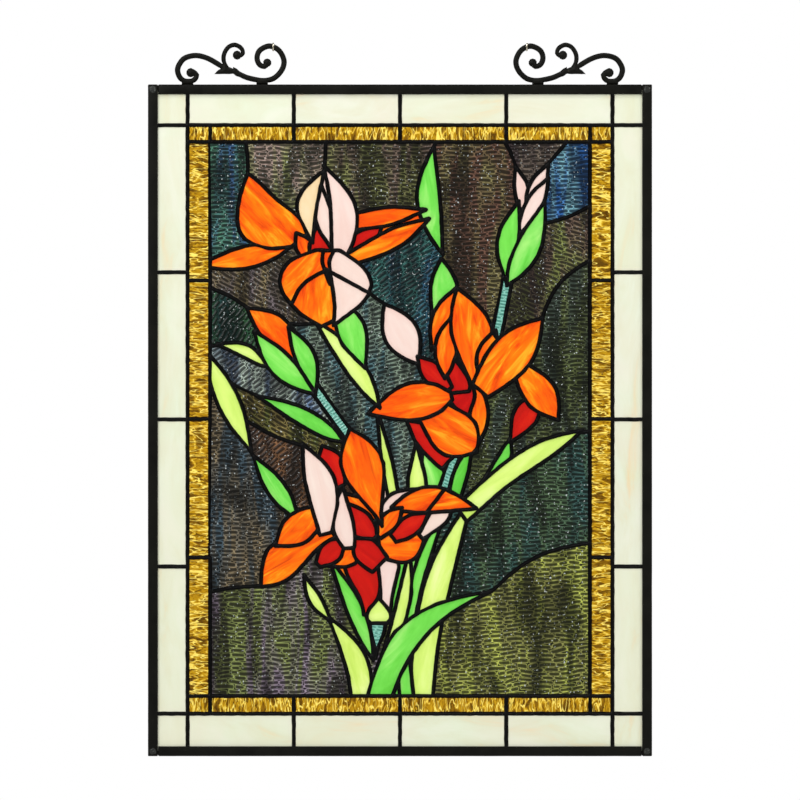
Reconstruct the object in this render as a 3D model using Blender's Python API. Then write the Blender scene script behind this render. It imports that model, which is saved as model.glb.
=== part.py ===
"""Stained glass panel made to hang: a soldered lattice of panes in a channel frame with two scroll hangers.

Front faces -Y, +X is right, +Z is up, metres. The origin lies midway between the two hanging rings.
"""
import math

import bmesh
import bpy
import numpy as np
from mathutils import Vector
from mathutils.geometry import delaunay_2d_cdt

millimetre = 0.001

# panel
panel_width = 457 * millimetre
panel_height = 609 * millimetre
frame_face = 9.0 * millimetre
frame_depth = 8.0 * millimetre
frame_wall = 1.0 * millimetre
clearance = 0.3 * millimetre
glass_thickness = 3.0 * millimetre
glass_gap = 0.5 * millimetre

# seams
seam_width = 3.3 * millimetre
seam_depth = 5.4 * millimetre
land = 0.35 * millimetre

# borders, measured from the panel's outer edge to a seam's middle
border_side = 35.9 * millimetre
border_top = 36.9 * millimetre
border_bottom = 38.5 * millimetre
amber_side = 20.35 * millimetre
amber_top = 15.1 * millimetre
amber_bottom = 16.0 * millimetre
panes_to_a_side = 4

# hangers
ring_rise = 34.1 * millimetre
ring_middle = 115.0 * millimetre
hanger_thickness = 3.0 * millimetre
ring_radius = 3.8 * millimetre
ring_wire = 0.7 * millimetre

# the picture is drawn in millimetres, from the lower left corner of the field inside both borders
field_width = (panel_width - 2 * (border_side + amber_side)) / millimetre
field_height = (panel_height - border_top - amber_top - border_bottom - amber_bottom) / millimetre
panel_left = -(border_side + amber_side) / millimetre
panel_bottom = -(border_bottom + amber_bottom) / millimetre


# outlines of the picture's figures

def blade(foot, tip, width, bend=0.0, belly=0.5, heel=0.0, blunt=1.0, steps=7):
    """Petal, leaf or stem: widths laid along a bowed spine from foot to tip."""
    foot, tip = Vector(foot), Vector(tip)
    along = tip - foot
    aside = Vector((-along.y, along.x))
    unit = aside.normalized()
    power = math.log(0.5) / math.log(belly)
    left, right = [], []
    for i in range(steps + 1):
        t = i / steps
        spine = foot + along * t + aside * bend * math.sin(math.pi * t)
        half = math.sin(math.pi * t ** power) ** blunt if 0 < t < 1 else 0.0
        if t < belly:
            half = heel + (1 - heel) * half
        half *= width / 2
        left.append(spine + unit * half)
        if half > 1e-6:
            right.append(spine - unit * half)
    return left + right[::-1]


def strip(foot, tip, width):
    foot, tip = Vector(foot), Vector(tip)
    aside = (tip - foot).orthogonal().normalized() * width / 2
    return [foot + aside, foot - aside, tip - aside, tip + aside]


def arc(start, end, bow=0.0, steps=5):
    """Open line between two points, bowed to its left by a share of its length."""
    start, end = Vector(start), Vector(end)
    along = end - start
    aside = Vector((-along.y, along.x))
    if bow == 0.0:
        return [start, end]
    return [start + along * i / steps + aside * bow * math.sin(math.pi * i / steps)
            for i in range(steps + 1)]


# each row: glass, then the figure; later rows lie over earlier ones
lower_leaves = [
    ("lime", blade((191, -14), (237, 180), 24, 0.06, 0.55, 0.85)),
    ("green", blade((178, 50), (216, 175), 11, 0.05, 0.5, 0.8)),
    ("lime", blade((162, 40), (181, 132), 12, -0.04, 0.5, 0.8)),
    ("green", blade((180, -14), (179, 46), 13, 0.04, 0.4, 0.8)),
    ("lime", blade((137, -20), (106, 73), 21, -0.12, 0.45, 0.7)),
    ("green", blade((148, 32), (108, 125), 15, -0.03, 0.45)),
    ("teal", blade((150, 34), (153, 76), 14, 0.0, 0.7)),
    ("green", blade((149, -16), (257, 96), 25, 0.17, 0.35, 0.95)),
    ("lime", blade((110, 67), (85, 110), 11, 0.05, 0.5)),
]

left_leaves = [
    ("lime", blade((38, 220), (-5, 315), 20, 0.0, 0.5)),
    ("green", blade((80, 160), (38, 219), 17, 0.0, 0.45)),
    ("green", blade((122, 230), (41, 273), 16, -0.03, 0.4)),
    ("lime", blade((52, 298), (6, 319), 12, -0.10, 0.45)),
]

left_bud = [
    ("teal", strip((92, 283), (126, 236), 9)),
    ("orange", blade((80, 306), (33, 352), 26, -0.06, 0.5, 0.6)),
    ("green", blade((96, 275), (71, 335), 18, -0.05, 0.5)),
    ("green", blade((96, 273), (40, 331), 22, 0.05, 0.5)),
]

middle_bud = [
    ("white", blade((189, 300), (158, 356), 31, 0.0, 0.5)),
]

upper_leaves = [
    ("green", blade((211, 400), (203, 499), 21, 0.09, 0.5)),
    ("green", blade((200, 329), (210, 397), 25, -0.10, 0.58)),
]

right_bud = [
    ("teal", strip((270, 380), (258, 318), 9)),
    ("white", blade((284, 432), (277, 481), 13, -0.05, 0.5)),
    ("cream", blade((286, 440), (307, 483), 14, 0.0, 0.5)),
    ("white", blade((277, 415), (307, 470), 15, 0.0, 0.55)),
    ("green", blade((269, 374), (280, 449), 19, 0.06, 0.5)),
    ("green", blade((269, 372), (304, 449), 22, -0.04, 0.45)),
]

upper_left_bloom = [
    ("lime", blade((154, 261), (94, 342), 18, -0.04, 0.45)),
    ("green", blade((141, 297), (117, 360), 26, 0.0, 0.55)),
    ("orange", blade((72, 408), (-12, 390), 20, 0.02, 0.45, 0.2)),
    ("orange", blade((82, 414), (34, 474), 47, 0.21, 0.40, 0.45, 0.8)),
    ("orange", blade((94, 394), (78, 420), 16, 0.0, 0.5, 0.7)),
    ("red", blade((118, 396), (156, 426), 20, 0.0, 0.5)),
    ("orange", blade((126, 396), (199, 433), 18, -0.02, 0.5, 0.6)),
    ("orange", blade((120, 428), (196, 441), 17, 0.0, 0.45, 0.7)),
    ("red", blade((101, 396), (97, 427), 20, 0.0, 0.3, 0.9)),
    ("white", blade((111, 405), (101, 463), 15, 0.05, 0.5)),
    ("cream", blade((93, 411), (104, 477), 18, 0.16, 0.5)),
    ("white", blade((117, 396), (103, 481), 24, -0.13, 0.42, 0.5)),
    ("orange", blade((104, 404), (101, 335), 79, 0.0, 0.42, 0.2, 0.75)),
    ("red", blade((108, 404), (109, 373), 13, 0.0, 0.3, 0.8)),
    ("white", blade((115, 404), (112, 336), 36, 0.22, 0.4, 0.15)),
]

right_bloom = [
    ("green", blade((201, 172), (193, 232), 22, -0.08, 0.4, 0.6)),
    ("lime", blade((188, 172), (187, 230), 17, 0.0, 0.3, 0.9)),
    ("lime", blade((168, 172), (151, 262), 10, 0.0, 0.35, 0.9)),
    ("teal", strip((228, 234), (208, 176), 9)),
    ("green", blade((220, 172), (238, 230), 13, 0.03, 0.45, 0.6)),
    ("green", blade((229, 172), (273, 235), 16, -0.12, 0.6, 0.5)),
    ("lime", blade((228, 165), (338, 241), 19, 0.05, 0.6, 0.9)),
    ("red", blade((216, 212), (178, 250), 24, -0.05, 0.45, 0.7)),
    ("red", blade((294, 268), (272, 230), 22, 0.0, 0.35, 0.4)),
    ("orange", blade((281, 297), (316, 250), 29, 0.02, 0.5, 0.5)),
    ("orange", blade((240, 222), (241, 288), 17, -0.05, 0.5)),
    ("red", blade((226, 284), (233, 250), 24, 0.0, 0.3, 0.9)),
    ("orange", blade((194, 264), (242, 221), 42, -0.02, 0.6, 0.5, 0.8)),
    ("red", blade((223, 275), (219, 310), 27, 0.0, 0.2, 0.9)),
    ("red", blade((216, 277), (188, 308), 19, 0.0, 0.5, 0.5)),
    ("orange", blade((219, 272), (143, 256), 34, -0.03, 0.42, 0.2)),
    ("orange", blade((201, 313), (224, 371), 16, 0.05, 0.5)),
    ("orange", blade((213, 288), (223, 349), 20, 0.06, 0.45)),
    ("orange", blade((238, 279), (224, 370), 37, -0.08, 0.55)),
    ("red", blade((244, 287), (259, 332), 18, 0.0, 0.5)),
    ("orange", blade((245, 277), (302, 343), 37, 0.0, 0.5, 0.5)),
]

lower_bloom = [
    ("red", blade((145, 74), (140, 134), 38, 0.0, 0.72, 0.3)),
    ("white", blade((159, 76), (163, 134), 19, 0.0, 0.75, 0.5)),
    ("lime", blade((153, 66), (153, 89), 22, 0.0, 0.3, 0.7)),
    ("white", blade((190, 143), (220, 177), 17, 0.0, 0.6, 0.3)),
    ("orange", blade((154, 134), (194, 141), 34, 0.0, 0.55, 0.5, 0.8)),
    ("red", blade((166, 143), (198, 166), 18, 0.0, 0.5, 0.5)),
    ("cream", blade((157, 164), (192, 188), 19, 0.05, 0.35, 0.6)),
    ("orange", blade((164, 171), (242, 170), 24, 0.10, 0.45)),
    ("orange", blade((151, 146), (174, 171), 16, 0.0, 0.5, 0.6)),
    ("orange", blade((99, 120), (140, 132), 20, 0.0, 0.6, 0.2)),
    ("red", blade((154, 119), (130, 143), 24, 0.0, 0.5, 0.8)),
    ("red", blade((98, 119), (122, 143), 20, 0.0, 0.5, 0.3)),
    ("red", blade((82, 134), (112, 154), 18, 0.0, 0.5)),
    ("orange", blade((112, 147), (46, 99), 34, -0.11, 0.62, 0.2)),
    ("orange", blade((97, 165), (59, 136), 28, 0.0, 0.45, 0.6)),
    ("red", blade((118, 190), (102, 227), 24, 0.0, 0.55, 0.4)),
    ("orange", blade((152, 148), (120, 184), 20, -0.05, 0.5)),
    ("red", blade((150, 144), (120, 176), 24, 0.06, 0.45, 0.2)),
    ("orange", blade((156, 154), (127, 243), 38, 0.0, 0.62)),
    ("white", blade((126, 134), (120, 190), 19, 0.06, 0.4, 0.5)),
    ("white", blade((105, 147), (84, 229), 27, -0.08, 0.5, 0.4)),
]

# seams inside one glass: the glass or the figure's place is found from the line's middle
ground_seams = [
    arc((32, 504), (34, 471), 0.03),
    arc((105, 504), (104, 478)),
    arc((205, 504), (203, 497)),
    arc((266, 504), (278, 477), 0.05),
    arc((325, 504), (305, 481)),
    arc((346, 445), (303, 428), 0.04),
    arc((346, 396), (300, 339), -0.12),
    arc((-2, 371), (36, 351), 0.04),
    arc((62, 340), (96, 338), -0.06),
    arc((-2, 317), (9, 318)),
    arc((5, 291), (43, 272)),
    arc((29, 252), (96, 224), -0.05),
    arc((-2, 94), (49, 100), 0.03),
    arc((86, 110), (82, 122)),
    arc((346, 139), (255, 95), -0.10),
    arc((334, 239), (346, 240)),
    arc((313, 254), (333, 240)),
    arc((146, 364.5), (160, 354)),
    arc((190, 354), (134, 396), 0.05),
    arc((255, 332), (262, 322)),
    arc((243, 226), (232, 212)),
    arc((213, 426), (224, 392), 0.10),
    arc((126, 236), (150, 254)),
    arc((270, 234), (276, 236)),
]

petal_seams = [
    arc((16, 402), (8, 384)),
    arc((108, 387), (71, 348), -0.14),
    arc((101, 389), (146, 364.5)),
    arc((196, 166), (213, 188)),
]


picture = (lower_leaves + left_leaves + left_bud + middle_bud + upper_leaves + right_bud
           + right_bloom + upper_left_bloom + lower_bloom)


# plane geometry

def ring_area(ring):
    return 0.5 * sum(a.x * b.y - b.x * a.y for a, b in zip(ring, ring[1:] + ring[:1]))


def turned_left(ring):
    return ring if ring_area(ring) > 0 else ring[::-1]


def held(ring, points):
    """Which of the points lie inside the ring."""
    corners = np.array([(v.x, v.y) for v in ring])
    near = np.flatnonzero(((points > corners.min(0)) & (points < corners.max(0))).all(1))
    x, y = points[near, 0], points[near, 1]
    inside = np.zeros(len(near), bool)
    for (ax, ay), (bx, by) in zip(corners, np.roll(corners, -1, 0)):
        if ay != by:
            inside ^= ((ay > y) != (by > y)) & (x < (bx - ax) * (y - ay) / (by - ay) + ax)
    return near[inside]


def rectangle(left, bottom, right, top):
    return [Vector((left, bottom)), Vector((right, bottom)), Vector((right, top)), Vector((left, top))]


def triangulated(rings, lines=(), merge=1e-5):
    """Triangles over all rings, their middles, and the edges that lie on the lines."""
    points, edges = [], []
    for line in lines:
        edges += [(len(points) + i, len(points) + i + 1) for i in range(len(line) - 1)]
        points += line
    on_lines = len(edges)
    for ring in rings:
        edges += [(len(points) + i, len(points) + (i + 1) % len(ring)) for i in range(len(ring))]
        points += ring
    verts, cut, tris, _, sources, _ = delaunay_2d_cdt(points, edges, [], 0, merge, True)
    marked = {tuple(sorted(cut[i])) for i, ids in enumerate(sources) if ids and min(ids) < on_lines}
    places = np.array([(v.x, v.y) for v in verts])
    tris = [tuple(t) for t in tris]
    return verts, tris, places[np.array(tris)].mean(1), marked


def sides_of(tris):
    sides = {}
    for i, tri in enumerate(tris):
        for a, b in zip(tri, tri[1:] + tri[:1]):
            sides.setdefault((min(a, b), max(a, b)), []).append(i)
    return sides


def thinned(line, tolerance):
    """The same line with the points left out that lie close to the straight run beside them."""
    if len(line) < 3:
        return line
    start, end = line[0], line[-1]
    along = end - start
    if along.length < 1e-9:
        far = max(range(1, len(line) - 1), key=lambda i: (line[i] - start).length)
        off = tolerance * 2
    else:
        aside = Vector((-along.y, along.x)).normalized()
        far = max(range(1, len(line) - 1), key=lambda i: abs((line[i] - start).dot(aside)))
        off = abs((line[far] - start).dot(aside))
    if off <= tolerance:
        return [start, end]
    return thinned(line[:far + 1], tolerance)[:-1] + thinned(line[far:], tolerance)


def thinned_ring(ring, tolerance):
    start = max(range(len(ring)), key=lambda i: (ring[i] - ring[0]).length)
    ring = ring[start:] + ring[:start]
    return thinned(ring + ring[:1], tolerance)[:-1]


def region_rings(verts, tris, chosen):
    """Closed outlines of a set of triangles, the outer one first."""
    follow = {}
    edges = {(a, b) for i in chosen for a, b in zip(tris[i], tris[i][1:] + tris[i][:1])}
    for a, b in sorted(edges):
        if (b, a) not in edges:
            follow.setdefault(a, []).append(b)
    rings = []
    while follow:
        start = here = min(follow)
        ring, before = [], None
        while True:
            ring.append(here)
            ways = follow[here]
            if len(ways) > 1 and before is not None:
                back = (verts[before] - verts[here])
                way = min(ways, key=lambda w: back.angle_signed(verts[w] - verts[here]) % math.tau)
            else:
                way = ways[0]
            ways.remove(way)
            if not ways:
                del follow[here]
            before, here = here, way
            if here == start:
                break
        while len(ring) > 2 and any(ring[i - 2] == ring[i] for i in range(len(ring))):
            spike = next(i for i in range(len(ring)) if ring[i - 2] == ring[i])
            ring = [v for k, v in enumerate(ring) if k not in (spike, (spike - 1) % len(ring))]
        if len(ring) > 2:
            rings.append([verts[i].copy() for i in ring])
    return sorted(rings, key=lambda r: -abs(ring_area(r)))


def regions(verts, tris, chosen):
    """Parts of a set of triangles that hang together over shared sides."""
    beside = {i: [] for i in chosen}
    for pair in sides_of(tris).values():
        if len(pair) == 2 and pair[0] in beside and pair[1] in beside:
            beside[pair[0]].append(pair[1])
            beside[pair[1]].append(pair[0])
    found, seen = [], set()
    for first in sorted(chosen):
        if first in seen:
            continue
        seen.add(first)
        part, queue = [], [first]
        while queue:
            here = queue.pop()
            part.append(here)
            for way in beside[here]:
                if way not in seen:
                    seen.add(way)
                    queue.append(way)
        found.append(part)
    return found


def disc(middle, radius, sides=8):
    return [middle + Vector((math.cos(math.tau * (i + 0.5) / sides), math.sin(math.tau * (i + 0.5) / sides)))
            * radius for i in range(sides)]


def thick(lines, width):
    """Outlines that cover the lines at a width, with mitred bends and round ends."""
    def edges(point, way, beside):
        middle = (way + beside).normalized() if beside and way.dot(beside) > 0.5 else way
        aside = Vector((-middle.y, middle.x)) * width / 2 / way.dot(middle)
        return [point + aside, point - aside]

    outlines = []
    for line in lines:
        line = [a for a, b in zip(line, line[1:]) if (b - a).length > 0.02] + [line[-1]]
        ways = [(b - a).normalized() for a, b in zip(line, line[1:])]
        for i, way in enumerate(ways):
            before = ways[i - 1] if i else None
            after = ways[i + 1] if i + 1 < len(ways) else None
            outlines.append(edges(line[i], way, before) + edges(line[i + 1], way, after)[::-1])
            if before and way.dot(before) < 0.8:
                outlines.append(disc(line[i], width / 2))
        outlines += [disc(end, width / 2, 6) for end in (line[0], line[-1])]
    return outlines


# the drawing: which figure is seen where, and the seams between

def chained(verts, edges):
    """Seam edges joined into lines that run from one junction to the next."""
    beside = {}
    for a, b in sorted(edges):
        beside.setdefault(a, []).append(b)
        beside.setdefault(b, []).append(a)
    left = set(edges)
    lines = []
    starts = [v for v in sorted(beside) if len(beside[v]) != 2] + sorted(beside)
    for start in starts:
        for way in beside[start]:
            if (min(start, way), max(start, way)) not in left:
                continue
            line, before, here = [start], start, way
            left.discard((min(start, way), max(start, way)))
            while True:
                line.append(here)
                if len(beside[here]) != 2 or here == start:
                    break
                step = beside[here][0] if beside[here][1] == before else beside[here][1]
                left.discard((min(here, step), max(here, step)))
                before, here = here, step
            lines.append([verts[i] for i in line])
    return lines


def drawn(figures, inner_seams):
    """Seam lines of the whole panel as (line, same glass on both sides)."""
    verts, tris, middles, on_line = triangulated([ring for _, ring in figures], inner_seams)
    owner = np.zeros(len(tris), int)
    for i, (_, ring) in enumerate(figures):
        owner[held(ring, middles)] = i
    glass = [figures[i][0] for i in owner]
    hard, soft = set(), set()
    for side, pair in sides_of(tris).items():
        if len(pair) != 2:
            continue
        one, two = pair
        if owner[one] == owner[two] and side not in on_line:
            continue
        (soft if glass[one] == glass[two] else hard).add(side)
    while True:
        degree = {}
        for side in hard | soft:
            for v in side:
                degree[v] = degree.get(v, 0) + 1
        loose = {side for side in soft if degree[side[0]] == 1 or degree[side[1]] == 1}
        if not loose:
            break
        soft -= loose
    return verts, hard, soft


def openings(verts, edges, outer, width, tolerance):
    """Outlines of everything that the seams leave open inside the outer rectangle."""
    lines = [thinned(line, 0.5) for line in chained(verts, edges)]
    solder = thick(lines, width)
    points, tris, middles, _ = triangulated([outer] + solder)
    open_here = np.zeros(len(tris), bool)
    open_here[held(outer, middles)] = True
    for ring in solder:
        open_here[held(ring, middles)] = False
    free = np.flatnonzero(open_here).tolist()
    found = []
    for part in regions(points, tris, free):
        outlines = region_rings(points, tris, part)
        size = abs(ring_area(outlines[0])) - sum(abs(ring_area(r)) for r in outlines[1:])
        largest = max(part, key=lambda i: abs(ring_area([points[v] for v in tris[i]])))
        middle = sum((points[v] for v in tris[largest]), Vector((0, 0))) / 3
        found.append((middle, size, [thinned_ring(r, tolerance) for r in outlines]))
    return found


def border_panes(outer, inner, stops):
    """Corner squares and rows of panes between two rectangles; stops divide the top and bottom rows."""
    left, bottom, right, top = outer
    low, base, high, head = inner
    across = [low] + stops + [high]
    up = [base + (head - base) * i / panes_to_a_side for i in range(panes_to_a_side + 1)]
    panes = []
    for under, over in ((bottom, base), (head, top)):
        for a, b in zip([left] + across, across + [right]):
            panes.append(rectangle(a, under, b, over))
    for a, b in ((left, low), (high, right)):
        for under, over in zip(up, up[1:]):
            panes.append(rectangle(a, under, b, over))
    return panes


# solids

def plate(name, rings, thickness, middle, glass):
    """Flat solid in the panel's plane from an outer outline and the holes in it."""
    outer, holes = rings[0], rings[1:]
    verts, tris, middles, _ = triangulated(rings)
    filled = np.zeros(len(tris), bool)
    filled[held(outer, middles)] = True
    for hole in holes:
        filled[held(hole, middles)] = False
    work = bmesh.new()
    front = [work.verts.new(middle(v)) for v in verts]
    faces = []
    for i in np.flatnonzero(filled):
        a, b, c = (front[v] for v in tris[i])
        faces.append(work.faces.new((a, b, c) if ring_area([verts[v] for v in tris[i]]) > 0 else (a, c, b)))
    for v in [v for v in work.verts if not v.link_faces]:
        work.verts.remove(v)
    pushed = bmesh.ops.extrude_face_region(work, geom=faces)
    for item in pushed["geom"]:
        if isinstance(item, bmesh.types.BMVert):
            item.co.y += thickness
    bmesh.ops.translate(work, verts=work.verts, vec=(0, -thickness / 2, 0))
    bmesh.ops.recalc_face_normals(work, faces=work.faces)
    return solid(name, work, glass)


def lattice(name, edge, holes, pockets, depth, inner_depth, middle, glass):
    """Full-depth webs between the pockets, and beads front and back where a bar crosses a pocket."""
    def states(crossings, plugs):
        verts, tris, middles, _ = triangulated([edge] + holes + crossings + plugs, merge=0.03)
        state = np.zeros(len(tris), int)
        state[held(edge, middles)] = 2
        for ring in crossings:
            inside = held(ring, middles)
            state[inside] = 3 - state[inside]
        for ring in plugs:
            state[held(ring, middles)] = 2
        for hole in holes:
            state[held(hole, middles)] = 0
        for part in regions(verts, tris, np.flatnonzero(state == 2).tolist()):
            if sum(abs(ring_area([verts[v] for v in tris[i]])) for i in part) < smallest_bead:
                state[part] = 1
        return verts, tris, state

    verts, tris, state = states(pockets, [])
    crossings = []
    for part in regions(verts, tris, np.flatnonzero(state == 1).tolist()):
        rings = region_rings(verts, tris, part)
        if ring_area(turned_left(rings[0])) > smallest_bead:
            crossings += rings

    # webs that touch in a single point are joined by a small plug
    plugs, pinched = [], [None]
    while pinched:
        verts, tris, state = states(crossings, plugs)
        sides = sides_of(tris)
        turns = {}
        for side, pair in sides.items():
            if len(pair) == 2 and (state[pair[0]] == 2) != (state[pair[1]] == 2):
                for v in side:
                    turns[v] = turns.get(v, 0) + 1
        pinched = [v for v, times in turns.items() if times > 2]
        plugs += [disc(verts[v], 0.2, 6) for v in pinched]
    facing = {i for pair in sides.values() if len(pair) == 2 for i, j in (pair, pair[::-1]) if not state[j]}
    for part in regions(verts, tris, np.flatnonzero(state == 1).tolist()):
        if not facing & set(part):
            state[part] = 2
    levels = [-depth / 2, -inner_depth / 2, inner_depth / 2, depth / 2]
    work = bmesh.new()
    made = {}

    def corner(v, level):
        if (v, level) not in made:
            point = middle(verts[v])
            made[v, level] = work.verts.new((point.x, levels[level], point.z))
        return made[v, level]

    beaded = {v for tri, kind in zip(tris, state) if kind == 1 for v in tri}
    for tri, kind in zip(tris, state):
        turn = tri if ring_area([verts[v] for v in tri]) > 0 else tri[::-1]
        for level in ((), (0, 1, 2, 3), (0, 3))[kind]:
            work.faces.new([corner(v, level) for v in (turn if level in (0, 2) else turn[::-1])])
    for (a, b), pair in sides.items():
        kinds = sorted([int(state[i]) for i in pair] + [0] * (2 - len(pair)))
        if kinds == [0, 2]:
            ladder = [[0, 1, 2, 3] if v in beaded else [0, 3] for v in (a, b)]
            walls = [(ladder[0], ladder[1])]
        elif kinds == [0, 1]:
            walls = [((0, 1), (0, 1)), ((2, 3), (2, 3))]
        elif kinds == [1, 2]:
            walls = [((1, 2), (1, 2))]
        else:
            walls = []
        for one, two in walls:
            work.faces.new([corner(a, level) for level in one] + [corner(b, level) for level in two[::-1]])
    bmesh.ops.recalc_face_normals(work, faces=work.faces)
    return solid(name, work, glass)


def solid(name, work, finish, home=None):
    mesh = bpy.data.meshes.new(name)
    work.to_mesh(mesh)
    work.free()
    mesh.materials.append(finish)
    thing = bpy.data.objects.new(name, mesh)
    (home or panel).objects.link(thing)
    return thing


def slab(name, low, high, finish, home=None):
    work = bmesh.new()
    bmesh.ops.create_cube(work, size=1.0)
    for v in work.verts:
        v.co = Vector([(l + h) / 2 + c * (h - l) for l, h, c in zip(low, high, v.co)])
    return solid(name, work, finish, home)


def cut(thing, cutter):
    cutter.hide_render = True
    cutter.display_type = "WIRE"
    change = thing.modifiers.new("cut", "BOOLEAN")
    change.operation = "DIFFERENCE"
    change.solver = "EXACT"
    change.object = cutter


def finish(name, colour, rough=0.4, metal=0.0, alpha=1.0):
    material = bpy.data.materials.new(name)
    material.use_nodes = True
    shader = material.node_tree.nodes["Principled BSDF"]
    shader.inputs["Base Color"].default_value = (*colour, 1.0)
    shader.inputs["Roughness"].default_value = rough
    shader.inputs["Metallic"].default_value = metal
    shader.inputs["Alpha"].default_value = alpha
    return material


def on_panel(point):
    """Panel point of a drawing point: origin between the rings, at ring_rise above the frame."""
    return Vector((point.x * millimetre + border_side + amber_side - panel_width / 2, 0.0,
                   point.y * millimetre + border_bottom + amber_bottom - panel_height - ring_rise))


if "Cube" in bpy.data.objects:
    bpy.data.objects.remove(bpy.data.objects["Cube"])
panel = bpy.data.collections.new("stained_glass_panel")
cutters = bpy.data.collections.new("cutters")
for home in (panel, cutters):
    bpy.context.scene.collection.children.link(home)

finishes = {
    "pearl": finish("cream_glass", (0.90, 0.87, 0.74), 0.25),
    "amber": finish("amber_glass", (0.62, 0.38, 0.05), 0.15),
    "ground": finish("dark_glass", (0.035, 0.045, 0.040), 0.15),
    "warm": finish("orange_glass", (0.95, 0.22, 0.02), 0.2),
    "pale": finish("blush_glass", (0.95, 0.78, 0.70), 0.2),
    "leaf": finish("leaf_glass", (0.30, 0.70, 0.12), 0.2),
}
solder_finish = finish("black_solder", (0.012, 0.012, 0.012), 0.4, 0.6)
frame_finish = finish("black_frame", (0.014, 0.015, 0.012), 0.45, 0.6)
ring_finish = finish("ring_wire", (0.30, 0.27, 0.20), 0.35, 1.0)

# every figure from the ground up, then the two borders over the picture's edges
sheet_of = {"orange": "warm", "red": "warm", "white": "pale", "cream": "pale",
            "green": "leaf", "lime": "leaf", "teal": "leaf"}
rim = (frame_wall + clearance) / millimetre
half_seam = seam_width / millimetre / 2
panel_right, panel_top = panel_left + panel_width / millimetre, panel_bottom + panel_height / millimetre
lattice_edge = rectangle(panel_left + rim, panel_bottom + rim, panel_right - rim, panel_top - rim)
pearl_outer = (panel_left + rim + half_seam, panel_bottom + rim + half_seam,
               panel_right - rim - half_seam, panel_top - rim - half_seam)
amber_outer = (-amber_side / millimetre, -amber_bottom / millimetre,
               field_width + amber_side / millimetre, field_height + amber_top / millimetre)
field = (0.0, 0.0, field_width, field_height)
stops = [amber_outer[0] + (amber_outer[2] - amber_outer[0]) * i / panes_to_a_side
         for i in range(1, panes_to_a_side)]
figures = [("rim", lattice_edge), ("ground", rectangle(*field))]
figures += [(sheet_of[glass], outline) for glass, outline in picture]
border_rows = ["bottom"] * (panes_to_a_side + 2) + ["top"] * (panes_to_a_side + 2)
border_rows += ["left"] * panes_to_a_side + ["right"] * panes_to_a_side
for kind, outer, inner in (("amber", amber_outer, field), ("pearl", pearl_outer, amber_outer)):
    figures += [(f"{kind}_{row}", pane)
                for row, pane in zip(border_rows, border_panes(outer, inner, stops))]
verts, hard_seams, soft_seams = drawn(figures, ground_seams + petal_seams)

# solder lattice: full webs between sheets, beads front and back where a sheet runs through
smallest_pane, smallest_sheet, smallest_bead = 6.0, 8.0, 1.0
wide = seam_width / millimetre
panes = openings(verts, hard_seams | soft_seams, lattice_edge, wide, 0.4)
pockets = openings(verts, hard_seams, lattice_edge, wide + 2 * land / millimetre, 0.25)
sheets = openings(verts, hard_seams, lattice_edge, wide + 2 * (land + glass_gap) / millimetre, 0.25)
lattice("solder_seams", lattice_edge, [rings[0] for _, size, rings in panes if size > smallest_pane],
        [ring for _, size, rings in pockets if size > smallest_sheet for ring in rings],
        seam_depth, glass_thickness + 2 * glass_gap, on_panel, solder_finish)

# glass: one sheet for every run of panes of one colour family
count = {}
for middle, size, rings in sheets:
    if size > smallest_sheet:
        kind = next(glass for glass, outline in reversed(figures)
                    if len(held(outline, np.array([[middle.x, middle.y]]))))
        count[kind] = count.get(kind, 0) + 1
        name = f"glass_{kind}" if "_" in kind else f"glass_{kind}_{count[kind]:02d}"
        plate(name, rings, glass_thickness, on_panel, finishes[kind.split("_")[0]])

# channel frame round the lattice
top, bottom = -ring_rise, -ring_rise - panel_height
half, deep = panel_width / 2, frame_depth / 2
slot = deep - frame_wall
for side in (-1, 1):
    name = "frame_left" if side < 0 else "frame_right"
    bar = slab(name, (min(side * half, side * (half - frame_face)), -deep, bottom),
               (max(side * half, side * (half - frame_face)), deep, top), frame_finish)
    inner = sorted((side * (half - frame_wall), side * (half - frame_face - 0.01)))
    cut(bar, slab(name + "_slot", (inner[0], -slot, bottom + frame_wall),
                  (inner[1], slot, top - frame_wall), frame_finish, cutters))
for name, low, wall_low in (("frame_top", top - frame_face, False), ("frame_bottom", bottom, True)):
    reach = half - frame_face - clearance
    bar = slab(name, (-reach, -deep, low), (reach, deep, low + frame_face), frame_finish)
    under = low + frame_wall if wall_low else low - 0.01
    over = low + frame_face + 0.01 if wall_low else low + frame_face - frame_wall
    cut(bar, slab(name + "_slot", (-half, -slot, under), (half, slot, over), frame_finish, cutters))

# scroll hangers, drawn in millimetres from the panel's middle and the frame's top edge
main_scroll = [(-188.3, 12.2), (-184.7, 8.6), (-187.0, 4.2), (-192.7, 2.6), (-198.7, 5.4), (-201.7, 13.8),
               (-196.0, 23.4), (-184.4, 26.3), (-172.9, 23.1), (-163.6, 17.6), (-156.4, 13.8),
               (-149.8, 11.6), (-141.0, 7.2), (-132.2, 4.7), (-123.4, 3.6), (-114.7, 5.6),
               (-107.5, 12.7), (-105.2, 21.5), (-109.7, 30.8), (-118.5, 34.9), (-127.3, 30.8),
               (-129.6, 23.7), (-127.3, 18.2), (-122.9, 16.5), (-120.4, 18.7)]
upper_scroll = [(-156.4, 14.4), (-159.5, 19.8), (-159.7, 27.0), (-155.9, 33.6), (-149.8, 36.0),
                (-144.1, 33.0), (-142.6, 28.6), (-144.9, 25.9)]
balls = [((-189.6, 10.8), 3.9), ((-120.4, 19.8), 3.5), ((-147.6, 26.7), 3.8)]
feet = [(-192.7, 10.0), (-125.0, 10.0)]
scroll_width = 4.1


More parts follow.
